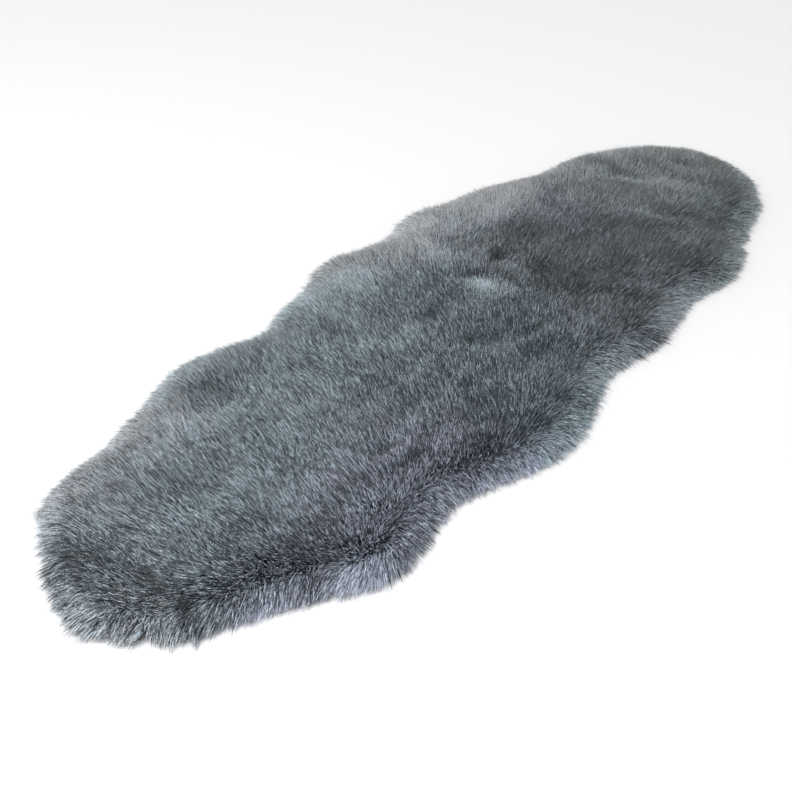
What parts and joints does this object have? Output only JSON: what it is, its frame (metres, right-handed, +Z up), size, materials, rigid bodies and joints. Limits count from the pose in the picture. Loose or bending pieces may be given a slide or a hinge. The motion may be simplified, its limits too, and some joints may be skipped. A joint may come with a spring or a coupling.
{
  "type": "shag rug",
  "caption": "Long-pile grey rug lying flat, with the long wavy outline of two sheepskins laid end to end, a lumpy pile with soft partings, and locks all round its rim.",
  "frame": {"origin": "on the floor, under the middle of the rug's outline", "axes": "+X along the rug's length from its tufted near end to its far end, +Y across it, +Z up out of the pile"},
  "size_m": [1.7964, 0.6583, 0.0538],
  "materials": {
    "grey_pile": "long silky faux sheepskin pile, slate grey, softly streaked, matt with a faint sheen"
  },
  "bodies": {
    "root": {"shag_rug": "grey_pile"}
  },
  "joints": []
}
